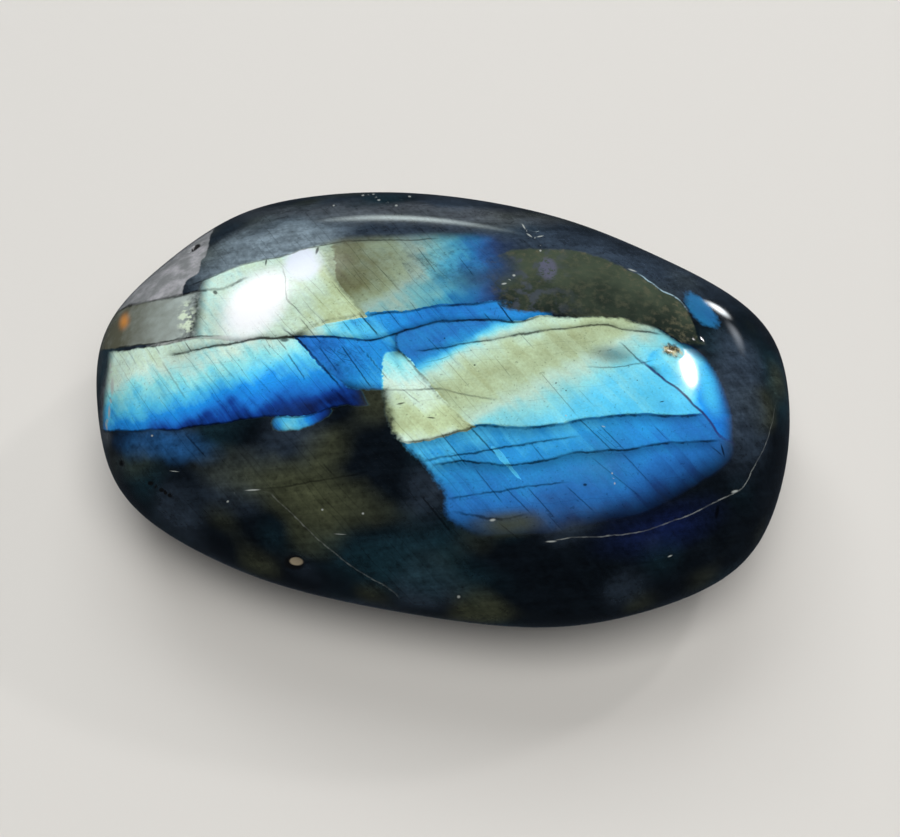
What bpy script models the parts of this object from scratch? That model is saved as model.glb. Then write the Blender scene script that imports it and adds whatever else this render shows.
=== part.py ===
# Polished labradorite palm stone, one solid. It lies on a small flat ground on its underside.
# X runs along its length, Z is up, and the origin is on the ground under the middle of the stone.
import math

import bmesh
import bpy
from mathutils import Vector

mm = 0.001

stoneHeight = 22.0
girthHeight = 9.0  # height of the widest line round the stone
baseCut = 0.6  # how much of the rounded underside is ground away to the flat

# The outline is a polygon with soft corners: direction of each side in degrees, distance from the middle in mm.
outlineSides = (
    (6.0, 36.5),
    (57.5, 27.5),
    (80.5, 25.5),
    (103.5, 28.2),
    (145.0, 33.8),
    (196.0, 34.5),
    (240.0, 28.3),
    (262.5, 25.1),
    (292.0, 30.0),
    (337.5, 36.0),
)
cornerSharpness = 14.0

# Roundness of the profile: 2 is an ellipse, and more is fuller at the shoulder.
topInward = 2.6
topUpward = 2.1
undersideInward = 2.4
undersideDownward = 2.0

stepsRound = 92
stepsDown = 46

# Natural pits left by the polish: where each lies, its three half sizes, its turn about the vertical, its tilt, in mm
# and degrees. The centre lies just under the skin, so that the pit is as deep as its last half size.
pits = {
    "pit_at_shoulder": ((-26.3, 12.6, 16.9), (0.95, 0.55, 0.75), 62.0, 30.0),
    "pit_with_ring": ((-12.0, -22.7, 12.0), (1.05, 0.60, 1.00), 8.0, 0.0),
    "chip_on_top": ((22.7, -2.0, 19.95), (1.45, 0.95, 0.45), 20.0, 12.0),
    "pit_low_left": ((-30.2, -12.6, 12.4), (0.40, 0.40, 0.55), 0.0, 0.0),
    "pit_low_middle": ((-26.4, -15.4, 13.6), (0.45, 0.35, 0.40), 0.0, 0.0),
    "pit_low_right": ((-24.5, -16.9, 13.4), (0.55, 0.40, 0.40), 0.0, 0.0),
}


def clearScene():
    for item in list(bpy.data.objects):
        bpy.data.objects.remove(item, do_unlink=True)


def outlineRadius(angle):
    total = 0.0
    for direction, distance in outlineSides:
        facing = math.cos(angle - math.radians(direction))
        if facing > 0.0:
            total += (facing / distance) ** cornerSharpness
    return total ** (-1.0 / cornerSharpness)


def shapePoint(unit):
    # Takes a point of the unit ball to the stone: the ball's own radius sets how far out, its height sets how far up.
    level = math.sqrt(max(0.0, 1.0 - unit.z * unit.z))
    angle = math.atan2(unit.y, unit.x)
    if unit.z >= 0.0:
        outward = level ** (2.0 / topInward)
        height = girthHeight + (stoneHeight - girthHeight) * unit.z ** (2.0 / topUpward)
    else:
        outward = level ** (2.0 / undersideInward)
        height = girthHeight - (girthHeight + baseCut) * (-unit.z) ** (2.0 / undersideDownward)
    reach = outlineRadius(angle) * outward
    return Vector((reach * math.cos(angle), reach * math.sin(angle), height)) * mm


def makeStone(collection, material):
    shape = bmesh.new()
    bmesh.ops.create_uvsphere(shape, u_segments=stepsRound, v_segments=stepsDown, radius=1.0)
    for vertex in shape.verts:
        vertex.co = shapePoint(vertex.co.copy())
    everything = shape.verts[:] + shape.edges[:] + shape.faces[:]
    sliced = bmesh.ops.bisect_plane(shape, geom=everything, plane_co=(0, 0, 0), plane_no=(0, 0, -1), clear_outer=True)
    rim = [item for item in sliced["geom_cut"] if isinstance(item, bmesh.types.BMEdge)]
    bmesh.ops.edgeloop_fill(shape, edges=rim)
    bmesh.ops.recalc_face_normals(shape, faces=shape.faces[:])
    mesh = bpy.data.meshes.new("labradorite_stone")
    shape.to_mesh(mesh)
    shape.free()
    mesh.materials.append(material)
    for polygon in mesh.polygons:
        polygon.use_smooth = True
    stone = bpy.data.objects.new("labradorite_stone", mesh)
    collection.objects.link(stone)
    return stone


def cutPit(stone, collection, name, place, sizes, turn, tilt):
    shape = bmesh.new()
    bmesh.ops.create_uvsphere(shape, u_segments=14, v_segments=8, radius=1.0)
    mesh = bpy.data.meshes.new(name)
    shape.to_mesh(mesh)
    shape.free()
    cutter = bpy.data.objects.new(name, mesh)
    cutter.location = Vector(place) * mm
    cutter.scale = Vector(sizes) * mm
    cutter.rotation_euler = (math.radians(tilt), 0.0, math.radians(turn))
    cutter.hide_render = True
    cutter.display_type = "WIRE"
    collection.objects.link(cutter)
    cut = stone.modifiers.new(name, "BOOLEAN")
    cut.operation = "DIFFERENCE"
    cut.solver = "EXACT"
    cut.object = cutter


def makeMaterial():
    material = bpy.data.materials.new("polished labradorite")
    material.use_nodes = True
    surface = material.node_tree.nodes["Principled BSDF"]
    surface.inputs["Base Color"].default_value = (0.03, 0.09, 0.16, 1.0)
    surface.inputs["Roughness"].default_value = 0.12
    return material


clearScene()
stoneCollection = bpy.data.collections.new("labradorite palm stone")
cutterCollection = bpy.data.collections.new("cutters")
bpy.context.scene.collection.children.link(stoneCollection)
bpy.context.scene.collection.children.link(cutterCollection)
stone = makeStone(stoneCollection, makeMaterial())
for pitName, (place, sizes, turn, tilt) in pits.items():
    cutPit(stone, cutterCollection, pitName, place, sizes, turn, tilt)
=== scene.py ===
import bpy
import numpy as np
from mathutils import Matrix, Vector


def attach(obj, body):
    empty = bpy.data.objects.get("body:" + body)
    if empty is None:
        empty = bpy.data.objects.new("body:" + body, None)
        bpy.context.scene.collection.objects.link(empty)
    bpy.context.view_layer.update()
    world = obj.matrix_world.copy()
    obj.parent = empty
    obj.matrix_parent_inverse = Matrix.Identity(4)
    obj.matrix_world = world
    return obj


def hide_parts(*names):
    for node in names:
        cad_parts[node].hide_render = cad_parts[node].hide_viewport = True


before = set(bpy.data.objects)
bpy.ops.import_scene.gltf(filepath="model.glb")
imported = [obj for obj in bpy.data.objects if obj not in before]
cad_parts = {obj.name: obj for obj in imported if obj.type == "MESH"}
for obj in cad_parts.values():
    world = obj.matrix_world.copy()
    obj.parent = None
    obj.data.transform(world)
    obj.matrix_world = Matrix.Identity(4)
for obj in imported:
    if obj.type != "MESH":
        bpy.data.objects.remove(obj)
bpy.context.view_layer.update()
print("frame loaded")

mm = 0.001
scene = bpy.context.scene


stoneShape = {
    "height": 22.0,
    "girth": 9.0,  # height of the widest line
    "baseCut": 0.6,  # ground away under the stone
    "sides": [(6.0, 36.5), (57.5, 27.5), (80.5, 25.5), (103.5, 28.2), (145.0, 33.8),
              # direction, distance
              (196.0, 34.5), (240.0, 28.3), (262.5, 25.1), (292.0, 30.0), (337.5, 36.0)],
    "cornerSharpness": 14.0,
    "topInward": 2.6,
    "topUpward": 2.1,
    "undersideInward": 2.4,
    "undersideDownward": 2.0,
    "around": 520,
    "topRows": 116,
    "undersideRows": 50,
    "skin": 0.05,  # kept inside the solid by this much
    "wave": 0.02,  # the slight waviness of a hand polish
}

# Pits and chips: place, long half size, short half size, turn in the plane seen from above, depth.
pits = {
    "shoulderPit": ((-26.3, 12.6, 16.8), 0.95, 0.55, 62.0, 0.70),
    "ringPit": ((-12.0, -22.6, 12.0), 1.10, 0.95, 0.0, 0.35),
    "topChip": ((22.7, -2.0, 19.9), 0.80, 0.50, 20.0, 0.06),
    "lowLeftPit": ((-30.2, -12.5, 12.4), 0.60, 0.50, 0.0, 0.40),
    "lowMiddlePit": ((-26.4, -15.4, 13.5), 0.50, 0.40, 0.0, 0.30),
    "lowRightPit": ((-24.5, -16.8, 13.3), 0.60, 0.45, 0.0, 0.30),
    "edgeChip": ((8.6, 13.7, 20.1), 1.20, 0.60, -35.0, 0.12),
}


def outlineRadius(angle):
    # A polygon with soft corners: one over the p-norm of how far the direction runs towards each side.
    direction, distance = np.array(stoneShape["sides"]).T
    facing = np.maximum(np.cos(angle[:, None] - np.radians(direction)), 0.0)
    sharp = stoneShape["cornerSharpness"]
    return ((facing / distance) ** sharp).sum(1) ** (-1.0 / sharp)


def spreadEvenly(outward, height, count):
    # Points at equal steps of length along a profile, both ends kept.
    length = np.append(0.0, np.cumsum(np.hypot(30.0 * np.diff(outward), np.diff(height))))
    step = np.linspace(0.0, length[-1], count)
    return np.interp(step, length, outward), np.interp(step, length, height)


def stoneProfile():
    # From the crown to the girth and under to the flat: a superellipse above, another below, cut off
    # level at the floor.
    s = stoneShape
    turn = np.linspace(0.0, np.pi / 2, 4000)
    outward = np.sin(turn)
    rise = (s["height"] - s["girth"]) * (1.0 - outward ** s["topInward"]) ** (1.0 / s["topUpward"])
    top = spreadEvenly(outward, s["girth"] + rise, s["topRows"])
    fall = (s["girth"] + s["baseCut"]) * (
        1.0 - outward ** s["undersideInward"]
    ) ** (1.0 / s["undersideDownward"])
    under = (s["girth"] - fall)[::-1]
    standing = under > 0.0
    foot = spreadEvenly(outward[::-1][standing], under[standing], s["undersideRows"])
    flat = np.linspace(foot[0][-1], 0.0, 12)[1:-1]
    outwards = np.concatenate([top[0][1:], foot[0][1:], flat])
    heights = np.concatenate([top[1][1:], foot[1][1:-1], np.zeros(len(flat) + 1)])
    return outwards, heights


def latticeNoise(points, size, seed):
    # Random numbers on a cubic lattice with smooth steps between them, 0 to 1.
    cell = points / size
    low = np.floor(cell).astype(np.int64)
    part = cell - low
    part = part * part * (3.0 - 2.0 * part)
    total = np.zeros(points.shape[:-1])
    for corner in np.ndindex(2, 2, 2):
        share = np.prod(np.where(np.array(corner) == 1, part, 1.0 - part), axis=-1)
        key = ((low + corner) * (73856093, 19349663, 83492791)).sum(-1) + seed * 7919
        total += share * ((key * 2654435761 % 4294967296) / 4294967296.0)
    return total


def smoothStep(value, low, high):
    # Three times the square of the share of the way from low to high, less twice its cube.
    part = np.clip((value - low) / (high - low), 0.0, 1.0)
    return part * part * (3.0 - 2.0 * part)


# The plane that the crystal's layers are laid out on: two directions across it and one out of it.
grain = {
    "across": (0.9986, 0.0523, 0.0),
    "up": (-0.0412, 0.7869, 0.6157),
    "out": (0.0322, -0.6148, 0.7880),
}


def grainPlace(points):
    # How far each point runs in the three directions of the grain.
    return points @ np.array([grain["across"], grain["up"], grain["out"]]).T


# The dull matrix patch: its border on the grain plane, upper edge then lower edge, as height over distance
# across.
matrixPatch = {
    "upper": [
        (4.0, 19.0), (8.0, 20.4), (12.2, 20.5), (16.3, 19.8), (18.2, 18.8), (20.1, 17.7), (21.9, 16.3),
        (23.8, 15.0), (24.9, 13.2), (25.4, 10.9)
    ],
    "lower": [
        (4.0, 18.2), (6.0, 14.0), (8.5, 13.4), (11.6, 13.3), (15.5, 13.4), (19.4, 12.5), (21.8, 11.6),
        (23.7, 10.4), (25.4, 10.4)
    ],
    "sunk": 0.10,
    "rough": 0.05,
}


def tint(red, green, blue):
    # Display values, 0 to 255, as the linear light that a colour socket takes.
    share = np.array([red, green, blue]) / 255.0
    linear = np.where(share > 0.04045, ((share + 0.055) / 1.055) ** 2.4, share / 12.92)
    return (*[float(x) for x in linear], 1.0)


def stonePoints():
    # Radius and height from the outline and the profile, then moved along the normal for waves, pits
    # and the patch.
    s = stoneShape
    angle = np.linspace(0.0, 2.0 * np.pi, s["around"], endpoint=False)
    outwards, heights = stoneProfile()
    reach = outwards[:, None] * outlineRadius(angle)[None]
    place = np.stack([reach * np.cos(angle), reach * np.sin(angle), heights[:, None] + 0.0 * reach], -1)
    down = np.gradient(place, axis=0)
    wrapped = np.concatenate([place[:, -1:], place, place[:, :1]], 1)
    along = (wrapped[:, 2:] - wrapped[:, :-2]) / 2.0
    normal = np.cross(down, along)
    normal /= np.linalg.norm(normal, axis=-1, keepdims=True)
    push = np.full(reach.shape, -s["skin"])
    push += s["wave"] * (2.0 * latticeNoise(place, 7.0, 3) - 1.0)
    for centre, longHalf, shortHalf, turn, depth in pits.values():
        offset = place - np.array(centre)
        far = np.linalg.norm(offset, axis=-1)
        lengthwise = offset @ np.array([np.cos(np.radians(turn)), np.sin(np.radians(turn)), 0.0])
        sideways = np.sqrt(np.maximum(far ** 2 - lengthwise ** 2, 0.0))
        ragged = 1.0 + 0.35 * (latticeNoise(place, 0.5, 11) - 0.5)
        bowl = np.sqrt((lengthwise / longHalf) ** 2 + (sideways / shortHalf) ** 2) * ragged
        push -= depth * (1.0 - smoothStep(bowl, 0.35, 1.15))
    spot = grainPlace(place) + 0.8 * np.stack([latticeNoise(place, 0.9, k) - 0.5 for k in (21, 22, 23)], -1)
    upper = np.interp(spot[..., 0], *np.array(matrixPatch["upper"]).T)
    lower = np.interp(spot[..., 0], *np.array(matrixPatch["lower"]).T)
    inside = smoothStep(np.minimum(upper - spot[..., 1], spot[..., 1] - lower), -0.1, 0.35)
    inside *= smoothStep(spot[..., 0], 4.0, 5.0) * smoothStep(25.4, spot[..., 0] - 0.4, spot[..., 0] + 0.2)
    inside *= smoothStep(place[..., 2], 12.0, 14.0)
    grit = latticeNoise(place, 0.6, 31) + 0.6 * latticeNoise(place, 0.33, 32)
    push -= inside * (matrixPatch["sunk"] + matrixPatch["rough"] * (grit - 0.8))
    push *= smoothStep(heights, 0.0, 1.5)[:, None]
    return place + push[..., None] * normal


def closedGrid(name, grid, firstPole, lastPole):
    # Rings of points joined by quads, the ends closed with a fan on one point each.
    rings, around = grid.shape[:2]
    points = np.concatenate([grid.reshape(-1, 3), [firstPole, lastPole]])
    row = np.arange(rings - 1)[:, None] * around
    column = np.arange(around)[None]
    after = (column + 1) % around
    quads = np.stack(
        [row + column, row + around + column, row + around + after, row + after], -1
    ).reshape(-1, 4)
    first = np.stack([np.full(around, rings * around), column[0], after[0]], -1)
    bottom = (rings - 1) * around
    last = np.stack([bottom + column[0], np.full(around, rings * around + 1), bottom + after[0]], -1)
    mesh = bpy.data.meshes.new(name)
    mesh.from_pydata(points * mm, [], quads.tolist() + first.tolist() + last.tolist())
    mesh.polygons.foreach_set("use_smooth", np.ones(len(mesh.polygons), bool))
    mesh.update()
    piece = bpy.data.objects.new(name, mesh)
    scene.collection.objects.link(piece)
    return piece


# Seams and slashes in the crystal, on the grain plane. "x" ones are heights over the distance across, "y"
# ones the reverse.
seams = {
    "leftUpper": (
        "x",
        [
            (-32.9, 10.3), (-30.6, 10.6), (-28.3, 10.7), (-26.7, 10.9), (-25.1, 11.1), (-23.0, 11.2),
            (-20.6, 11.3)
        ]
    ),
    "roof": (
        "x", [(-33.0, 10.0), (-27.2, 10.5), (-23.0, 11.0), (-19.2, 10.8), (-15.0, 10.9), (-9.3, 10.7)]
    ),
    "long": (
        "x",
        [
            (-26.4, 9.5), (-22.9, 9.9), (-19.9, 10.5), (-16.8, 11.0), (-13.1, 11.1), (-9.3, 10.9),
            (-6.4, 10.8), (-4.7, 11.1), (-2.7, 11.8), (0.2, 12.6), (4.0, 12.8), (7.8, 12.5), (10.2, 13.0)
        ]
    ),
    "blueBand": (
        "x",
        [(-7.3, 13.0), (-5.1, 13.4), (-2.7, 13.7), (0.2, 14.1), (4.0, 14.5), (7.9, 14.9), (11.8, 15.4)]
    ),
    "bandTop": (
        "x",
        [
            (-14.8, 10.9), (-13.5, 11.5), (-12.2, 12.1), (-10.4, 12.7), (-7.3, 13.1), (-5.1, 13.4),
            (-2.7, 13.7), (0.2, 14.1), (4.0, 14.5), (7.9, 14.9), (11.8, 15.4)
        ]
    ),
    "azureTop": (
        "x",
        [(-13.5, 7.1), (-12.8, 6.8), (-12.1, 7.2), (-11.0, 7.6), (-9.9, 7.5), (-9.1, 6.9), (-8.1, 6.1)]
    ),
    "paleSlash": (
        "y", [(-4.0, 10.3), (-2.8, 9.0), (-1.7, 7.5), (-0.5, 6.1), (0.8, 4.7), (2.2, 3.3), (3.3, 2.3)]
    ),
    "gold": (
        "x",
        [
            (-2.4, 9.7), (0.2, 10.0), (2.5, 10.4), (4.9, 10.6), (6.8, 11.0), (9.7, 11.6), (13.5, 12.1),
            (15.5, 12.3), (17.9, 11.9), (20.3, 11.6), (21.8, 11.3)
        ]
    ),
    "tealEdge": ("x", [(13.6, 8.2), (16.1, 8.1), (19.0, 8.4), (20.6, 8.8)]),
    "goldTwin": ("x", [(-1.5, 8.6), (0.2, 8.9), (1.7, 9.3)]),
    "pale": ("x", [(-4.9, 6.0), (-2.6, 5.9), (0.2, 6.0), (2.9, 5.5), (5.7, 5.1)]),
    "cyan": (
        "x",
        [
            (-3.4, 1.2), (0.2, 1.7), (2.0, 2.2), (3.8, 2.7), (7.4, 2.4), (11.1, 2.8), (13.0, 3.2),
            (16.7, 3.6), (20.5, 3.7), (24.9, 3.7)
        ]
    ),
    "thin": ("x", [(-1.6, -0.4), (0.2, -0.1), (2.9, 0.2), (5.6, 0.6), (9.2, 1.2), (12.9, 1.7)]),
    "blueStep": (
        "x",
        [
            (-0.9, -0.7), (2.0, -0.5), (6.0, -0.9), (9.2, -0.5), (12.8, 0.3), (16.5, 0.5), (20.3, 1.1),
            (24.2, 1.2), (26.4, 1.2)
        ]
    ),
    "lowBlue": ("x", [(0.7, -3.9), (2.9, -3.6), (5.6, -3.1), (9.1, -2.6), (11.8, -2.5)]),
    "lowSlate": ("x", [(1.3, -5.0), (3.8, -5.4), (6.0, -5.6), (8.2, -5.1)]),
    "flashFloor": (
        "x",
        [
            (-34.2, 2.1), (-29.5, 2.2), (-25.1, 2.2), (-22.1, 2.6), (-18.3, 3.2), (-14.5, 3.6),
            (-12.6, 3.5), (-8.5, 4.6)
        ]
    ),
    "lowSeam": ("x", [(-16.0, -3.1), (-13.8, -2.9), (-11.5, -2.4), (-8.8, -2.0), (-5.9, -1.4)]),
    "corner": (
        "x",
        [
            (-25.7, 16.5), (-23.9, 17.1), (-22.4, 17.7), (-19.7, 18.8), (-15.9, 19.6), (-12.5, 20.7),
            (-7.9, 21.2), (-2.9, 21.3), (0.1, 21.5)
        ]
    ),
    "ragged": (
        "x",
        [
            (-33.7, 14.5), (-30.9, 14.9), (-28.0, 15.3), (-25.6, 15.6), (-23.7, 16.1), (-21.1, 16.3),
            (-18.7, 17.4)
        ]
    ),
    "jag": (
        "y",
        [
            (-25.7, 16.0), (-25.4, 17.3), (-24.3, 18.2), (-24.3, 19.3), (-23.9, 20.1), (-24.1, 22.0),
            (-24.3, 23.5)
        ]
    ),
    "crackWhite": ("y", [(-12.8, 13.0), (-13.6, 13.9), (-14.8, 15.0), (-15.1, 16.9), (-15.5, 18.9)]),
    "darkSlash": ("y", [(-8.6, 5.6), (-9.2, 6.4), (-13.1, 10.6), (-15.0, 12.4)]),
    "hazeEdge": ("y", [(-6.3, 11.7), (-8.5, 14.8), (-10.9, 18.2), (-11.7, 20.7), (-11.6, 23.1)]),
    "midSlash": ("y", [(-0.4, 5.9), (-1.9, 7.8), (-3.6, 9.7), (-5.3, 10.7)]),
    "purpleSlash": (
        "y", [(27.7, 0.8), (26.4, 1.6), (24.9, 3.7), (22.7, 5.8), (20.8, 7.3), (19.5, 8.5), (18.5, 9.3)]
    ),
    "oliveCrack": (
        "y", [(-3.5, -13.3), (-8.0, -10.0), (-12.5, -6.0), (-14.3, -4.3), (-15.4, -3.4), (-17.1, -3.1)]
    ),
    "blackEdge": (
        "y",
        [
            (4.3, -7.7), (2.2, -6.4), (0.8, -5.0), (0.8, -3.5), (-0.1, -2.0), (-1.4, -0.2), (-3.0, 1.0),
            (-4.2, 2.7), (-4.8, 5.0), (-5.0, 6.4)
        ]
    ),
    "shoulder": (
        "x",
        [
            (9.5, -7.6), (12.7, -7.3), (15.6, -7.1), (18.1, -6.8), (21.9, -5.7), (24.8, -4.5),
            (26.9, -3.6), (28.1, -3.1), (29.4, -1.5), (30.7, 0.3), (32.2, 2.7), (33.2, 5.1)
        ]
    ),
    "matrixTop": ("x", matrixPatch["upper"]),
    "matrixFoot": ("x", matrixPatch["lower"]),
}
# Each seam's points in the order of the axis that it runs along, that axis first.
seams = {
    name: (axis, sorted(point if axis == "x" else point[::-1] for point in points))
    for name, (axis, points) in seams.items()
}


# The few colours of the body and of what lies over the flash.
palette = {
    "black": (8, 14, 20),
    "slate": (50, 62, 76),
    "teal": (24, 52, 62),
    "olive": (68, 72, 52),
    "navy": (16, 28, 70),
    "blue": (34, 86, 140),
    "grey": (80, 86, 92),
    "mist": (120, 136, 146),
    "white": (248, 250, 255),
    "cyan": (90, 220, 250),
}

# Named features, on the grain plane in mm: x, y, half sizes, turn, colour, strength, and the share of the
# radius that fades. In the body, the far side, the far-left shoulder and the rims are painted sky
# reflections, and the right end is its own slate with a painted reflection on its rim.
bodyFeatures = {
    # The far side, the far-left shoulder and the far rim are painted sky reflections.
    "farSideSkyReflection": (4.0, 19.5, 34.0, 6.0, -6.0, "slate", 0.9, 0.6),
    "farLeftSkyReflection": (-17.0, 20.0, 10.0, 4.5, 18.0, "mist", 0.9, 0.6),
    "farRimSkyReflection": (-4.0, 24.5, 24.0, 2.0, -2.0, "grey", 0.8, 0.8),
    "oliveBelly": (-13.0, -3.0, 13.0, 3.5, -14.0, "olive", 0.8, 0.9),
    "blueUnderSeam": (-26.0, 0.8, 7.0, 2.2, -6.0, "blue", 0.8, 0.9),
    "tealFoot": (-3.0, -10.0, 12.0, 4.0, -12.0, "teal", 0.7, 0.9),
    "navyFoot": (20.0, -6.5, 8.0, 3.0, 14.0, "navy", 0.7, 1.0),
    # The right end's slate, with a painted reflection on its rim, then a painted reflection down the left
    # rim.
    "rightEndAndRimReflection": (28.5, 5.0, 4.5, 9.0, 0.0, "slate", 0.8, 0.7),
    "leftRimReflection": (-33.0, 4.0, 1.6, 7.0, 0.0, "grey", 0.8, 0.8),
}
overFeatures = {
    # Partly whitish schiller and partly a painted highlight in place of a window's reflection.
    "hazeSchillerAndHighlight": (-17.5, 14.5, 5.5, 3.2, 56.0, "white", 0.9, 0.8),
    "brokenLayers": (4.0, 17.0, 6.0, 2.0, 3.0, "slate", 0.6, 1.0),
    "oliveStep": (6.5, -5.8, 4.5, 1.6, 2.0, "olive", 0.85, 0.8),
    "besidePatch": (16.5, 9.4, 3.6, 1.3, -8.0, "teal", 0.55, 0.9),
    "shoulderGlow": (25.6, 6.0, 1.4, 3.6, 12.0, "cyan", 0.6, 0.9),
}


# Bright marks: pale specks and grains, a painted highlight on the patch's lip and painted reflections down
# the left rim; then dark ones: x, y, half sizes, turn.
paleSpecksAndPaintedReflections = [
    (-8.2, 27.2, 0.22, 0.2, 0.0), (-7.1, 27.4, 0.2, 0.18, 0.0), (-6.4, 26.4, 0.22, 0.16, 0.0),
    (-4.5, 25.6, 0.2, 0.18, 0.0), (-3.2, 27.0, 0.25, 0.18, -30.0), (-11.1, 25.7, 0.15, 0.15, 0.0),
    (8.7, 23.1, 0.12, 0.5, 25.0), (9.2, 22.0, 0.45, 0.12, -40.0), (10.3, 21.9, 0.5, 0.1, 15.0),
    # On this line, a painted highlight on the patch's lip, then painted reflections down the left rim, which
    # go on through the next line.
    (19.4, 18.2, 0.6, 0.12, -20.0), (-32.8, 8.6, 0.2, 0.4, 10.0), (-32.2, 6.5, 0.34, 1.3, 8.0),
    (-32.3, 4.0, 0.22, 0.9, 4.0), (-32.6, 2.6, 0.2, 0.6, 20.0),
    (-27.0, 1.7, 0.16, 0.13, 0.0), (-19.3, -4.3, 0.18, 0.12, 30.0), (-10.4, -4.9, 0.14, 0.12, 0.0),
    (-6.7, -5.2, 0.15, 0.13, 0.0), (1.9, -12.8, 0.2, 0.2, 0.0),
    (4.9, -5.7, 0.35, 0.16, 8.0), (10.2, 20.2, 0.15, 0.15, 0.0), (11.7, 3.6, 0.16, 0.08, -30.0),
    (15.1, 2.6, 0.24, 0.06, -20.0), (15.7, -1.6, 0.1, 0.12, 0.0),
    (15.9, -2.5, 0.1, 0.14, 0.0), (-24.6, -1.6, 0.6, 0.05, -4.0), (-16.9, -3.2, 0.9, 0.1, 4.0),
    (-8.8, -7.1, 0.7, 0.04, -2.0), (10.1, -7.6, 0.6, 0.1, 2.0),
    (21.0, -9.1, 0.3, 0.1, 20.0), (6.4, 16.5, 0.35, 0.12, 10.0), (7.4, 17.4, 0.2, 0.16, 0.0),
    (27.4, -3.4, 0.5, 0.16, 10.0),
]
darkMarks = [
    (3.4, 8.3, 0.14, 0.12, 0.0), (10.9, 6.6, 0.1, 0.1, 0.0), (11.8, 5.9, 0.1, 0.09, 0.0),
    (20.8, 4.9, 0.3, 0.07, 12.0), (18.6, 6.9, 0.08, 0.08, 0.0),
    (25.5, -5.2, 0.25, 0.85, -10.0), (26.4, 0.4, 0.14, 0.8, 12.0), (0.6, 10.9, 0.12, 0.1, 0.0),
    (13.2, -2.6, 0.25, 0.16, 0.0), (-0.6, 3.4, 0.5, 0.09, -6.0),
    (-3.4, 4.7, 0.5, 0.1, 12.0), (-14.6, 10.8, 0.6, 0.3, 0.0), (-22.1, 15.8, 0.4, 0.25, -40.0),
    (-17.3, 19.0, 0.14, 0.5, 0.0), (-12.2, 20.2, 0.2, 0.6, -10.0),
]
# Painted shade in the pits: x, y, half sizes, turn.
pitShadeMarks = [
    (-25.6, 21.2, 0.42, 0.75, -40.0), (-13.2, -9.9, 1.2, 0.9, 0.0), (-30.5, -1.0, 0.46, 0.36, 0.0),
    (-27.2, -2.8, 0.36, 0.26, 0.0), (-26.0, -3.4, 0.34, 0.24, 0.0), (-25.2, -3.9, 0.3, 0.24, 0.0),
]


def curveThrough(value, points):
    # A smooth curve through given points as the value grows, level past the ends, with no overshoot
    # between points.
    places, numbers = np.array(points, float).T
    slopes = np.diff(numbers) / np.diff(places)
    tangent = np.zeros(len(places))
    both = slopes[1:] * slopes[:-1]
    tangent[1:-1] = np.where(both > 0, 2.0 * both / np.where(both > 0, slopes[1:] + slopes[:-1], 1.0), 0.0)
    value = np.clip(value, places[0], places[-1])
    i = np.clip(np.searchsorted(places, value) - 1, 0, len(places) - 2)
    step = places[i + 1] - places[i]
    t = (value - places[i]) / step
    rise = numbers[i + 1] - numbers[i]
    bend = t * (1.0 - t) * ((1.0 - t) * (tangent[i] * step - rise) - t * (tangent[i + 1] * step - rise))
    return numbers[i] + t * rise + bend


class Trace:
    # One seam seen from every point: side is the distance in mm, over it or to its right; span is 1
    # along it and fades at its ends.
    def __init__(self, spot, name):
        axis, points = seams[name]
        self.run, rise = (spot[:, 0], spot[:, 1]) if axis == "x" else (spot[:, 1], spot[:, 0])
        middle = curveThrough(self.run, points)
        slope = (curveThrough(self.run + 0.3, points) - curveThrough(self.run - 0.3, points)) / 0.6
        self.side = (rise - middle) / np.sqrt(1.0 + slope ** 2)
        self.start, self.end = points[0][0], points[-1][0]
        self.span = smoothStep(self.run, self.start - 0.2, self.start + 1.4) * (
            1.0 - smoothStep(self.run, self.end - 1.4, self.end + 0.2)
        )

    # Edges run from -1 outside to 1 inside over a soft width.
    def over(self, soft=0.15, shift=0.0):
        return (self.side - shift) / soft

    def under(self, soft=0.15, shift=0.0):
        return (shift - self.side) / soft

    def shade(self, reach, strength):
        # 1 at the line, fading over reach on one side of it: above, or below where reach is negative.
        away = self.side * np.sign(reach)
        return (
            1.0 - smoothStep(away, 0.0, abs(reach))
        ) * smoothStep(away, -0.25, 0.1) * self.span * strength


def within(value, low, high):
    # An edge across a range: -1 at low and 1 at high.
    return 2.0 * (value - low) / (high - low) - 1.0


def cloudEdge(spot, x, y, halfX, halfY, turn=0.0, soft=1.0):
    # The same kind of edge for an ellipse; soft is the share of its radius that fades.
    c, s = np.cos(np.radians(turn)), np.sin(np.radians(turn))
    offset = spot[:, :2] - (x, y)
    far = np.hypot(offset @ (c, s) / halfX, offset @ (-s, c) / halfY)
    return 1.0 - 2.0 * (far - 1.0 + soft) / soft


def cloudAmount(spot, *shape):
    return smoothStep(cloudEdge(spot, *shape), -1.0, 1.0)


def inside(*edges):
    # The part that lies inside every edge: the least of them, kept within 4 widths.
    return np.clip(np.minimum.reduce([edge + 0.0 for edge in edges]), -4.0, 4.0)


# Lines that show dark: width in mm and strength.
darkLines = {
    "leftUpper": (0.13, 0.85), "long": (0.17, 1.0), "blueBand": (0.18, 0.9), "gold": (0.15, 0.9),
    "goldTwin": (0.08, 0.7), "pale": (0.14, 0.7),
    "cyan": (0.20, 0.9), "thin": (0.15, 0.85), "blueStep": (0.16, 0.95), "lowBlue": (0.14, 0.75),
    "lowSlate": (0.18, 0.7), "flashFloor": (0.18, 0.85),
    "lowSeam": (0.12, 0.7), "corner": (0.12, 0.7), "ragged": (0.22, 0.85), "crackWhite": (0.11, 0.55),
    "darkSlash": (0.15, 0.95), "midSlash": (0.14, 0.5),
    "tealEdge": (0.11, 0.7),
}


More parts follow.
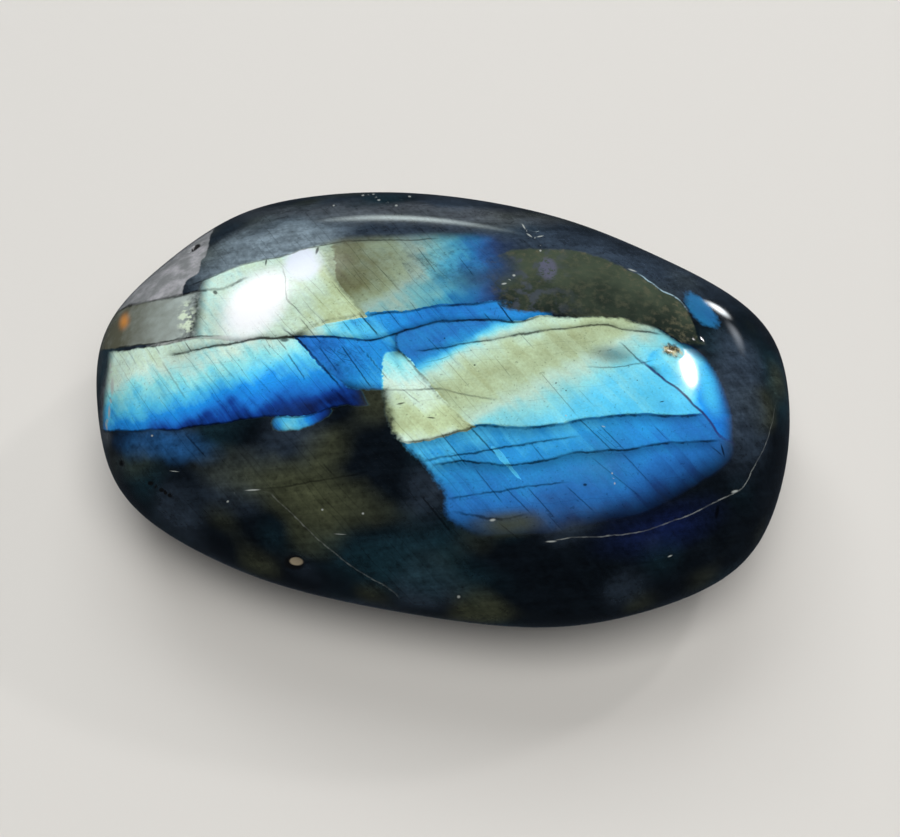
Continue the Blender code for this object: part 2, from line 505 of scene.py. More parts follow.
# Straight slashes: from and to, width in mm, strength.
slashes = [
    (-24.6, 10.8, -23.6, 9.6, 0.09, 0.7), (-28.3, 11.2, -27.0, 9.5, 0.12, 0.4),
    (-26.7, 8.8, -23.7, 5.1, 0.13, 0.35), (-20.9, 8.9, -18.9, 6.9, 0.12, 0.3),
    (-17.5, 7.7, -15.4, 5.6, 0.1, 0.3), (-16.7, 10.4, -15.7, 9.2, 0.09, 0.4),
    (-15.4, 11.0, -14.1, 9.6, 0.09, 0.5), (-14.3, 9.6, -12.3, 6.9, 0.11, 0.6),
    (-22.6, 3.9, -21.8, 2.9, 0.12, 0.4), (-23.7, 2.0, -21.4, -0.3, 0.12, 0.6),
    (-10.5, -0.6, -9.3, -1.9, 0.1, 0.5), (-9.2, 12.7, -8.2, 11.5, 0.08, 0.6),
    (-7.6, 13.4, -5.6, 11.1, 0.13, 0.8), (-9.2, 10.3, -6.1, 6.1, 0.11, 0.7),
    (-10.4, 10.2, -8.6, 8.4, 0.08, 0.5), (-7.6, 10.3, -5.5, 7.9, 0.09, 0.5),
    (-2.2, 20.5, -0.2, 17.6, 0.08, 0.5), (1.9, 19.5, 3.5, 17.2, 0.08, 0.45),
    (4.3, 13.5, 5.2, 12.4, 0.1, 0.7), (5.7, 14.5, 7.2, 12.3, 0.12, 0.85),
    (-1.2, 11.1, 0.3, 9.5, 0.09, 0.45), (7.7, 11.4, 9.0, 9.9, 0.08, 0.35), (5.2, 9.2, 6.8, 7.1, 0.08, 0.3),
    (9.5, 7.6, 12.7, 3.6, 0.08, 0.4),
    (12.9, 6.1, 14.3, 4.5, 0.07, 0.3), (17.3, 10.6, 19.4, 8.3, 0.13, 0.6),
    (-3.5, 6.2, -1.6, 4.7, 0.08, 0.4), (0.2, 2.1, 2.7, -1.0, 0.09, 0.6),
    (2.9, 2.6, 5.3, -0.0, 0.13, 0.7), (8.5, 1.0, 9.7, -0.5, 0.09, 0.5), (3.3, -1.1, 5.8, -4.2, 0.1, 0.5),
    (5.9, -2.7, 8.4, -5.2, 0.11, 0.5),
    (8.0, -2.8, 10.6, -5.7, 0.09, 0.55), (11.5, -2.7, 14.0, -5.0, 0.1, 0.5),
    (12.8, 3.4, 15.9, 0.3, 0.09, 0.6), (14.8, 2.7, 17.0, 0.4, 0.09, 0.6),
    (16.7, 0.2, 19.1, -2.4, 0.1, 0.5), (13.9, -0.2, 18.2, -3.7, 0.09, 0.4),
    (19.8, 2.7, 21.1, 1.3, 0.08, 0.45), (25.2, 0.8, 26.4, -0.2, 0.11, 0.6),
    (9.6, -5.0, 11.1, -6.6, 0.09, 0.4), (5.4, -5.9, 7.5, -7.6, 0.09, 0.4),
    (-1.6, -3.4, 1.3, -6.9, 0.15, 0.6), (-8.8, -9.1, -4.8, -13.1, 0.12, 0.4),
    (-13.3, 13.0, -10.9, 10.2, 0.1, 0.5), (-11.3, 10.2, -9.3, 7.6, 0.11, 0.5),
    (-6.8, 9.6, -4.6, 6.9, 0.09, 0.5), (-5.0, 13.9, -3.6, 12.1, 0.08, 0.45),
    (-2.9, 14.8, -1.4, 12.7, 0.09, 0.45), (-5.8, 18.1, -3.7, 15.6, 0.08, 0.4),
    (-8.5, 18.2, -6.5, 15.6, 0.07, 0.35), (0.7, 8.8, 3.0, 6.1, 0.08, 0.3),
    (-22.1, 7.7, -20.2, 5.8, 0.1, 0.25), (-10.6, 16.9, -8.9, 14.8, 0.07, 0.3),
    (-13.3, 16.6, -11.0, 14.2, 0.07, 0.25), (1.1, 0.0, 2.2, -1.1, 0.08, 0.4),
]


# The layers of each flash zone. Place in the order of colours: across, over the height y + tilt * x, plus
# along, over x.
# Then the strength of the flash and how dull its layers are.
flashLayers = {
    "upper": {
        "tilt": 0.0, "across": [(12.0, 0.25), (17.0, 0.05)],
        "along": [(-9.0, 0.05), (-5.0, 0.16), (-1.0, 0.38), (3.0, 0.6), (7.0, 0.86)], "strength": 0.5,
        "dull": 0.6
    },
    "band": {
        "tilt": 0.0, "across": [(0.0, 0.0)],
        "along": [(-13.0, 0.35), (-8.0, 0.56), (0.0, 0.74), (8.0, 0.68)], "strength": 0.85, "dull": 0.4
    },
    "haze": {
        "tilt": 0.0, "across": [(0.0, 0.0)], "along": [(-23.0, 0.36), (-14.0, 0.32), (-9.0, 0.22)],
        "strength": 0.9, "dull": 0.2
    },
    "left": {
        "tilt": -0.25, "across": [(7.5, 0.92), (9.5, 0.74), (11.5, 0.58), (13.5, 0.44), (16.5, 0.33)],
        "along": [(0.0, 0.0)], "strength": 0.92, "dull": 0.2
    },
    "middle": {
        "tilt": 0.0, "across": [(0.0, 0.0)], "along": [(-12.0, 0.78), (-5.0, 0.66)], "strength": 0.9,
        "dull": 0.4
    },
    "small": {
        "tilt": 0.0, "across": [(0.0, 0.0)], "along": [(-15.0, 0.62), (-13.0, 0.54), (-10.5, 0.88)],
        "strength": 0.9, "dull": 0.0
    },
    "right": {
        "tilt": -0.5,
        "across": [(-10.0, 0.6), (-4.0, 0.56), (0.0, 0.46), (5.0, 0.2), (8.0, 0.4), (11.0, 0.74)],
        "along": [(0.0, 0.0)], "strength": 0.92, "dull": 0.7
    },
    "lower": {
        "tilt": 0.0, "across": [(-10.0, 0.96), (-6.0, 0.85), (-2.0, 0.73), (3.0, 0.65)],
        "along": [(0.0, -0.04), (14.0, 0.0), (24.0, 0.1)], "strength": 0.93, "dull": 0.7
    },
    "pale": {
        "tilt": 0.0, "across": [(0.0, 0.45), (3.0, 0.22), (6.0, 0.34), (9.0, 0.44), (11.0, 0.56)],
        "along": [(0.0, 0.0)], "strength": 0.95, "dull": 0.1
    },
    "shoulder": {
        "tilt": 0.0, "across": [(0.0, 0.0)], "along": [(19.0, 0.6), (23.0, 0.5), (26.0, 0.74)],
        "strength": 0.95, "dull": 0.1
    },
    "aboveShoulder": {
        "tilt": 0.0, "across": [(0.0, 0.0)], "along": [(0.0, 0.7)], "strength": 0.6, "dull": 0.9
    },
    "sliver": {"tilt": 0.0, "across": [(0.0, 0.0)], "along": [(0.0, 0.58)], "strength": 0.85, "dull": 0.3},
}


# The guessed flash on the side that the photo hides: place in the order of colours over a distance in mm.
backLayers = [(-10, 0.86), (-5, 0.66), (-1, 0.6), (2, 0.5), (5, 0.32), (8, 0.5), (12, 0.8)]


def nearestSlash(spot):
    # How many widths each point is from the nearest slash, and the slash's strength there, which fades
    # at its ends.
    closest = np.full(len(spot), 99.0)
    side, strength = np.full(len(spot), 9.0), np.zeros(len(spot))
    for x0, y0, x1, y1, width, dark in slashes:
        length = np.hypot(x1 - x0, y1 - y0)
        forward = np.array([x1 - x0, y1 - y0]) / length
        offset = spot[:, :2] - (x0, y0)
        run, off = offset @ forward, offset @ (-forward[1], forward[0])
        beyond = np.maximum(-run, run - length)
        far = np.hypot(off, np.maximum(beyond, 0.0))
        closer = far < closest
        closest = np.where(closer, far, closest)
        side = np.where(closer, off / width, side)
        strength = np.where(closer, dark * (1.0 - smoothStep(beyond, -0.5, 0.1)), strength)
    return np.clip(side, -9.0, 9.0), strength


def layerOrder(spot, layers):
    # Place in the order of colours, strength and dullness: one curve across the layers and one along
    # them, added.
    def curve(value, points):
        return curveThrough(value, points) if len(points) > 1 else points[0][1] + 0.0 * value
    x, y = spot[:, 0], spot[:, 1]
    order = curve(y + layers["tilt"] * x, layers["across"]) + curve(x, layers["along"])
    return np.column_stack(
        [np.clip(order, 0.0, 1.0), layers["strength"] + 0.0 * x, layers["dull"] + 0.0 * x]
    )


def flashZones(spot, seam):
    # Each zone of the flash: its sharp edge, and a fade from 0 to 1 where it has none. Later ones lie
    # over earlier ones.
    x, y = spot[:, 0], spot[:, 1]
    # The right flash fades above the shoulder's fracture and towards the right end.
    rightFade = smoothStep(seam["shoulder"].side - np.clip(x - 10.0, 0.0, 17.0) * 0.11, 0.2, 3.2)
    rightFade = rightFade * smoothStep(-x, -28.0, -25.6) * smoothStep(-x - y * 1.2, -36.0, -34.8)
    leftEnd = np.maximum(seam["darkSlash"].under(0.15), seam["azureTop"].under(0.15))
    middleStart = np.minimum(seam["darkSlash"].over(0.2), seam["azureTop"].over(0.15))
    # The haze ends sharply at its foot and softly further up.
    hazeSide = seam["hazeEdge"].side / (0.22 + 1.4 * smoothStep(y, 16.6, 19.7))
    return {
        "upper": (inside(hazeSide, seam["bandTop"].over(0.15, -0.1)),
                  smoothStep(-seam["corner"].side, -0.9, 0.6) * smoothStep(-x, -9.0, -4.3)),
        "band": (
            inside(seam["bandTop"].under(0.2), seam["long"].over(0.12)),
            smoothStep(x, -13.6, -11.7) * smoothStep(-x, -11.3, -9.4)
        ),
        "haze": (
            inside(
                -hazeSide, seam["corner"].under(0.15), seam["long"].over(0.12), seam["bandTop"].over(0.4)
            ),
            smoothStep(x, -24.0, -22.5)
        ),
        "left": (inside(seam["flashFloor"].over(0.12), seam["roof"].under(0.12), leftEnd),
                 smoothStep(x, -33.4, -32.3) * smoothStep(-x - y * 0.5, 3.8, 5.6)),
        "middle": (inside(middleStart, seam["long"].under(0.12), seam["paleSlash"].under(0.2)),
                   smoothStep(y + x * 0.16, 4.6, 6.0) * smoothStep(-x, 3.5, 4.8)),
        "small": (
            inside(cloudEdge(spot, -12.6, 3.5, 3.3, 1.2, 14.0, 0.3) * 1.4, seam["flashFloor"].under(0.1)),
            cloudAmount(spot, -12.6, 3.5, 3.5, 1.5, 14.0, 0.6)
        ),
        "right": (
            inside(
                seam["long"].under(0.15), seam["matrixFoot"].under(0.3),
                np.maximum(seam["purpleSlash"].under(0.15), (y - 8.2) / 0.3), seam["paleSlash"].over(0.15),
                seam["blackEdge"].over(0.4), seam["cyan"].over(0.15, -0.15)
            ),
            rightFade
        ),
        "lower": (inside(seam["cyan"].under(0.15), seam["blackEdge"].over(0.4)), rightFade),
        "pale": (inside(seam["paleSlash"].under(0.2), seam["cyan"].over(0.15), seam["blackEdge"].over(0.45)),
                 smoothStep(x + y * 0.1, -4.9, -3.2) * smoothStep(-y, -9.8, -8.8)),
        "shoulder": (
            seam["purpleSlash"].over(0.15),
            np.maximum(
                cloudAmount(spot, 24.9, 5.6, 2.5, 5.6, 20.0, 0.55),
                cloudAmount(spot, 22.8, 7.1, 3.8, 2.6, -45.0, 0.6)
            )
        ),
        "aboveShoulder": (cloudEdge(spot, 26.0, 14.1, 1.3, 2.6, 42.0, 0.4), 1.0),
        "sliver": (
            np.maximum(
                cloudEdge(spot, 5.8, -0.1, 1.3, 0.3, -48.0, 0.5),
                cloudEdge(spot, 6.9, -1.5, 1.0, 0.16, -48.0, 0.5)
            ),
            1.0
        ),
    }


def layClouds(spot, table, under):
    # Colour, and how much of what is under it still shows: the clouds of a table laid over each other.
    colour = np.array(under) + np.zeros((len(spot), 3))
    clear = np.ones(len(spot))
    for x, y, halfX, halfY, turn, shown, strength, soft in table.values():
        amount = strength * cloudAmount(spot, x, y, halfX, halfY, turn, soft)
        colour = colour * (1.0 - amount[:, None]) + np.array(tint(*palette[shown])[:3]) * amount[:, None]
        clear *= 1.0 - amount
    return np.column_stack([colour, clear])


def nearestMark(spot, table):
    # Each point's place in the ellipse of its nearest mark, as shares of the half sizes, and 1 near it
    # or 0 far from it.
    closest = np.full(len(spot), 99.0)
    share = np.zeros((len(spot), 2))
    for x, y, halfX, halfY, turn in table:
        c, s = np.cos(np.radians(turn)), np.sin(np.radians(turn))
        offset = spot[:, :2] - (x, y)
        away = np.hypot(offset[:, 0], offset[:, 1]) - max(halfX, halfY)
        closer = away < closest
        closest = np.where(closer, away, closest)
        share = np.where(
            closer[:, None], np.stack([offset @ (c, s) / halfX, offset @ (-s, c) / halfY], -1), share
        )
    return share[:, 0], share[:, 1], 1.0 - smoothStep(closest, 0.5, 0.9)


def lineTracks(names):
    # Lines whose runs don't meet share a track: sets of names, each with one axis.
    tracks = []
    for name in sorted(names, key=lambda name: seams[name][1][0][0]):
        axis, points = seams[name]
        alike = [track for track in tracks if seams[track[0]][0] == axis]
        free = [track for track in alike if seams[track[-1]][1][-1][0] + 1.0 < points[0][0]]
        if free:
            free[0].append(name)
        else:
            tracks.append([name])
    return tracks


def paintPoints(piece):
    # Works out the stone's markings for each point of the mesh and keeps them as attributes that the
    # surface reads.
    places = np.empty(len(piece.data.vertices) * 3)
    piece.data.vertices.foreach_get("co", places)
    places = places.reshape(-1, 3) / mm
    wander = np.stack(
        [latticeNoise(places, 3.2, k) + 0.5 * latticeNoise(places, 1.1, k + 5)
        - 0.75 for k in (41, 42, 43)], -1
    )
    plain = grainPlace(places)
    spot = plain + wander * (0.35, 0.35, 0.0)
    seam = {name: Trace(spot, name) for name in seams}
    fields = {}
    # The side turned away from the photo has a pattern of its own: fewer seams and one long flash.
    away = smoothStep(9.0 + (places[:, 1] + 26.0) * 0.217 - places[:, 2], 2.2, 4.0)
    zones, paints = flashZones(spot, seam), {}
    # The layers wander more than the seams do, and their flash is stronger in some places than in others.
    loose = spot + wander * (2.2, 1.4, 0.0)
    uneven = np.column_stack(
        [np.ones(len(spot)), 0.7 + 0.42 * latticeNoise(places, 4.0, 74), np.ones(len(spot))]
    )
    for name, (edge, fade) in zones.items():
        fields[name + "Edge"] = edge
        paints[name + "Flash"] = np.column_stack(
            [layerOrder(loose, flashLayers[name]) * uneven, (fade + 0.0 * edge) * (1.0 - away)]
        )
    back = places + wander * 2.2
    bands = back[:, 1] + back[:, 0] * 0.22 + latticeNoise(places, 9.0, 61) * 5.0
    backFade = np.maximum(
        cloudAmount(back, -9.0, 1.0, 20.0, 10.0, 14.0, 0.5),
        cloudAmount(back, 17.0, -5.0, 9.0, 6.0, 30.0, 0.6)
    )
    paints["backFlash"] = np.column_stack([curveThrough(bands, backLayers),
                                           0.35 + 0.5 * latticeNoise(places, 6.0, 62), 0.7 + 0.0 * bands,
                                           backFade * away])
    fields["backEdge"] = inside(backFade * 4.0 - 1.0)
    fields["slash"], fields["slashStrength"] = nearestSlash(plain)
    fields["slashStrength"] *= 1.0 - away
    for number, track in enumerate(lineTracks(darkLines)):
        side, strength = np.full(len(spot), 9.0), np.zeros(len(spot))
        for name in track:
            here = (seam[name].run > seam[name].start - 0.5) & (seam[name].run < seam[name].end + 0.5)
            width, dark = darkLines[name]
            side = np.where(here, seam[name].side / width, side)
            strength = np.where(here, seam[name].span * dark, strength)
        fields["line%d" % number], fields[
            "lineStrength%d" % number
        ] = np.clip(side, -9.0, 9.0), strength * (1.0 - away)
    fields["shade"] = np.maximum.reduce(
        [
            seam["cyan"].shade(-1.2, 0.4), seam["blueStep"].shade(-1.2, 0.45),
            seam["gold"].shade(0.6, 0.3), seam["long"].shade(0.7, 0.45)
        ]
    )
    fields["milkyEdge"] = inside(seam["jag"].under(0.1), seam["ragged"].over(0.12, -0.1))
    fields["glassEdge"] = inside(
        seam["leftUpper"].over(0.12), seam["ragged"].under(0.12), within(spot[:, 0], -23.0, -25.5)
    )
    fields["glassShade"] = curveThrough(spot[:, 0], [(-33, 0.0), (-30, 0.3), (-26, 0.8), (-24, 1.0)])
    fields["stripEdge"] = inside(
        seam["leftUpper"].under(0.1), seam["roof"].over(0.1), within(spot[:, 0], -18.0, -22.0),
        within(spot[:, 0], -29.0, -27.0)
    )
    # The white haze, in two parts: whitish schiller and a painted highlight in place of a window's
    # reflection.
    fields["bloomEdge"] = inside(
        cloudEdge(spot, -17.9, 14.5, 5.4, 3.8, 56.0, 0.8), seam["long"].over(0.25, 0.1),
        seam["crackWhite"].under(0.3, 0.1)
    )
    fields["bloomTwoEdge"] = inside(
        cloudEdge(spot, -13.5, 18.9, 2.4, 2.6, 10.0, 0.5), seam["hazeEdge"].under(0.9, -0.5),
        seam["corner"].under(0.1)
    )
    fields["patchEdge"] = inside(
        seam["matrixTop"].under(0.15, -0.1), seam["matrixFoot"].over(0.2, 0.1),
        within(spot[:, 0], 4.2, 7.2), within(spot[:, 0], 26.0, 25.4)
    )
    fields["patchHeight"] = 0.35 * smoothStep(seam["matrixFoot"].side, 0.0, 5.0) - 0.1
    fields["patchRim"] = np.maximum(
        smoothStep(seam["matrixTop"].side, -1.8, 0.0), smoothStep(spot[:, 0], 19.0, 24.0)
    )
    # The pale ledge is a painted highlight where the lip of the sunken patch catches the light.
    fields["ledge"], fields["ledgeStrength"] = np.clip(seam["matrixTop"].side, -2.0, 2.0), cloudAmount(
        spot, 22.8, 16.5, 3.4, 3.0, -30.0, 0.4
    )
    fields["chipEdge"] = inside(cloudEdge(spot, 22.3, 9.8, 1.3, 0.8, -14.0, 0.6))
    fields["purple"], fields["purpleStrength"] = np.clip(
        seam["purpleSlash"].side, -2.0, 2.0
    ), seam["purpleSlash"].span
    fields["fracture"], fields["fractureStrength"] = np.clip(
        seam["shoulder"].side, -2.0, 2.0
    ), seam["shoulder"].span * 0.8
    fields["crack"], fields["crackStrength"] = np.clip(
        seam["oliveCrack"].side, -2.0, 2.0
    ), seam["oliveCrack"].span * 0.45
    fields["crystals"] = cloudAmount(plain, -24.8, 13.2, 1.1, 2.2, 10.0, 0.5)
    fields["worn"] = np.maximum(
        cloudAmount(spot, 0.1, 18.8, 9.0, 4.0, 4.0, 0.8), cloudAmount(spot, -6.5, 22.2, 6.0, 1.4, 3.0, 0.7)
    )
    fields["worn"] = np.maximum(fields["worn"], cloudAmount(spot, -9.0, 8.8, 4.6, 2.6, -20.0, 0.8))
    fields["lilac"] = cloudAmount(plain, 10.8, 18.2, 1.1, 1.5, 0.0, 0.4)
    fields["patchGap"] = cloudAmount(plain, 6.5, 18.2, 2.4, 2.2, 0.0, 0.8)
    fields["orange"] = cloudAmount(plain, -31.9, 13.2, 0.95, 1.3, 20.0, 0.95)
    for name, table in [("pale", paleSpecksAndPaintedReflections), ("dark", darkMarks), ("pit", pitShadeMarks)]:
        fields[name + "MarkX"], fields[name + "MarkY"], fields[
            name + "MarkNear"
        ] = nearestMark(plain, table)
    for name in [
        "milkyEdge", "glassEdge", "stripEdge", "bloomEdge", "bloomTwoEdge", "patchEdge", "chipEdge"
    ]:
        fields[name] = np.minimum(fields[name], 3.0 - away * 8.0)
    for name in [
        "shade", "worn", "ledgeStrength", "purpleStrength", "fractureStrength", "crackStrength",
        "crystals", "lilac", "orange", "paleMarkNear", "darkMarkNear", "pitMarkNear"
    ]:
        fields[name] = fields[name] * (1.0 - away)
    for name, values in fields.items():
        piece.data.attributes.new(name, "FLOAT", "POINT").data.foreach_set(
            "value", values.astype(np.float32)
        )
    # The body: black glass with broad teal and olive veils of noise, then its named features, among them
    # painted sky reflections on the far side and the rims.
    ground = np.array(tint(*palette["black"])[:3]) + np.zeros((len(spot), 3))
    for name, size, seed in [("teal", 7.0, 71), ("olive", 5.0, 72), ("slate", 6.0, 73)]:
        veil = 0.6 * smoothStep(latticeNoise(places, size, seed), 0.5, 0.85)[:, None]
        ground = ground * (1.0 - veil) + np.array(tint(*palette[name])[:3]) * veil
    paints["bodyColour"] = layClouds(spot + wander * (1.1, 0.8, 0.0), bodyFeatures, ground)
    paints["veil"] = layClouds(spot, overFeatures, (0.0, 0.0, 0.0))
    paints["veil"] = paints["veil"] * (1.0 - away[:, None]) + away[:, None] * (0.0, 0.0, 0.0, 1.0)
    shade = smoothStep(latticeNoise(places, 8.0, 63), 0.3, 0.8)[:, None]
    dusk = np.array(tint(40, 52, 62)) * shade + np.array(tint(12, 17, 24)) * (1.0 - shade)
    paints["bodyColour"] = paints["bodyColour"] * (1.0 - away[:, None]) + away[:, None] * dusk
    for name, values in paints.items():
        piece.data.attributes.new(name, "FLOAT_COLOR", "POINT").data.foreach_set(
            "color", values.astype(np.float32).ravel()
        )
    return [*zones, "back"], len(lineTracks(darkLines))


grid = stonePoints()
crown = grid[0].mean(0)
stone = closedGrid("polishedStone", grid, (crown[0], crown[1], grid[0][:, 2].max()), (0.0, 0.0, 0.0))
zoneNames, trackCount = paintPoints(stone)
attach(stone, "root")
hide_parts("labradorite_stone")
print(
    "stone made:", len(stone.data.polygons), "faces,", len(zoneNames), "flash zones,", trackCount,
    "line tracks"
)


class Wire:
    # One output socket. Arithmetic on it adds Math nodes, so that a formula reads as written.
    def __init__(self, socket):
        self.socket = socket

    def node(self, kind, settings=None, values=None, output=0):
        made = self.socket.id_data.nodes.new(kind)
        for key, value in (settings or {}).items():
            if key == "stops":
                ramp = made.color_ramp
                while len(ramp.elements) < len(value):
                    ramp.elements.new(1.0)
                for element, (position, tint) in zip(ramp.elements, value):
                    element.position = position
                    element.color = tint
            else:
                setattr(made, key, value)
        for key, value in (values or {}).items():
            if isinstance(value, Wire):
                self.socket.id_data.links.new(value.socket, made.inputs[key])
            else:
                made.inputs[key].default_value = value
        return Wire(made.outputs[output])

    def maths(self, operation, first, second=0.0):
        return self.node("ShaderNodeMath", {"operation": operation}, {0: first, 1: second})

    def __add__(self, other):
        return self.maths("ADD", self, other)

    def __radd__(self, other):
        return self.maths("ADD", other, self)

    def __sub__(self, other):
        return self.maths("SUBTRACT", self, other)

    def __rsub__(self, other):
        return self.maths("SUBTRACT", other, self)

    def __mul__(self, other):
        return self.maths("MULTIPLY", self, other)

    def __rmul__(self, other):
        return self.maths("MULTIPLY", other, self)

    def __abs__(self):
        return self.maths("ABSOLUTE", self)


def smooth(value, low, high):
    # 0 at low and 1 at high, with soft ends between them. Low may be over high.
    return value.node(
        "ShaderNodeMapRange", {"interpolation_type": "SMOOTHSTEP"},
        {0: value, 1: low, 2: high, 3: 0.0, 4: 1.0}
    )


def blend(low, high, amount):
    # A number between two others.
    return low + (high - low) * amount


def larger(first, second):
    return first.maths("MAXIMUM", first, second)


def colourMix(under, over, amount):
    return amount.node("ShaderNodeMix", {"data_type": "RGBA"}, {0: amount, 6: under, 7: over}, 2)


def colourTimes(colour, amount):
    # A colour made darker or lighter by a number: black mixed towards it, and past it where the number
    # is over 1.
    return amount.node(
        "ShaderNodeMix", {"data_type": "RGBA", "clamp_factor": False},
        {0: amount, 6: (0.0, 0.0, 0.0, 1.0), 7: colour}, 2
    )


def dot(vector, direction):
    # How far the vector runs in the direction.
    return vector.node("ShaderNodeVectorMath", {"operation": "DOT_PRODUCT"}, {0: vector, 1: direction}, 1)


def vectorOf(wire, x, y, z):
    return wire.node("ShaderNodeCombineXYZ", None, {0: x, 1: y, 2: z})


def noise(vector, size, detail=2.0, roughness=0.5):
    # Noise whose patches are about size mm across, 0 to 1 around a half.
    return vector.node(
        "ShaderNodeTexNoise", None,
        {"Vector": vector, "Scale": 1.0 / size, "Detail": detail, "Roughness": roughness}
    )


# Order of the flash's colours, from bronze through white and blue to black: bright layers, and duller steel
# ones.
flashColours = [
    (0.00, tint(132, 122, 90)),
    (0.13, tint(158, 162, 112)),
    (0.24, tint(196, 216, 172)),
    (0.35, tint(222, 250, 236)),
    (0.46, tint(156, 246, 252)),
    (0.56, tint(92, 212, 255)),
    (0.66, tint(32, 156, 252)),
    (0.76, tint(28, 124, 226)),
    (0.86, tint(16, 66, 160)),
    (0.94, tint(6, 24, 84)),
    (1.00, tint(3, 7, 20)),
]
steelColours = [
    (0.00, tint(104, 96, 70)),
    (0.13, tint(148, 156, 112)),
    (0.24, tint(186, 208, 172)),
    (0.35, tint(188, 226, 206)),
    (0.46, tint(146, 226, 236)),
    (0.56, tint(96, 210, 250)),
    (0.66, tint(50, 152, 208)),
    (0.76, tint(46, 118, 186)),
    (0.86, tint(32, 72, 122)),
    (0.94, tint(14, 30, 56)),
    (1.00, tint(5, 9, 18)),
]


def threads(across, along, spacing, width, reach):
    # Straight hairlines at uneven steps of spacing: one in each strip across, at a place of its own,
    # shown only where a noise along the strip is high.
    steps = across * (1.0 / spacing)
    strip = steps.maths("FLOOR", steps)
    chance = strip.node("ShaderNodeTexWhiteNoise", {"noise_dimensions": "1D"}, {1: strip})
    far = abs(steps - strip - 0.25 - chance * 0.5)
    shown = smooth(noise(vectorOf(across, strip * 3.7, along * (1.0 / reach), 0.5), 1.0, 0.0), 0.47, 0.56)
    return smooth(far, width / spacing, width / spacing * 0.25) * shown, chance


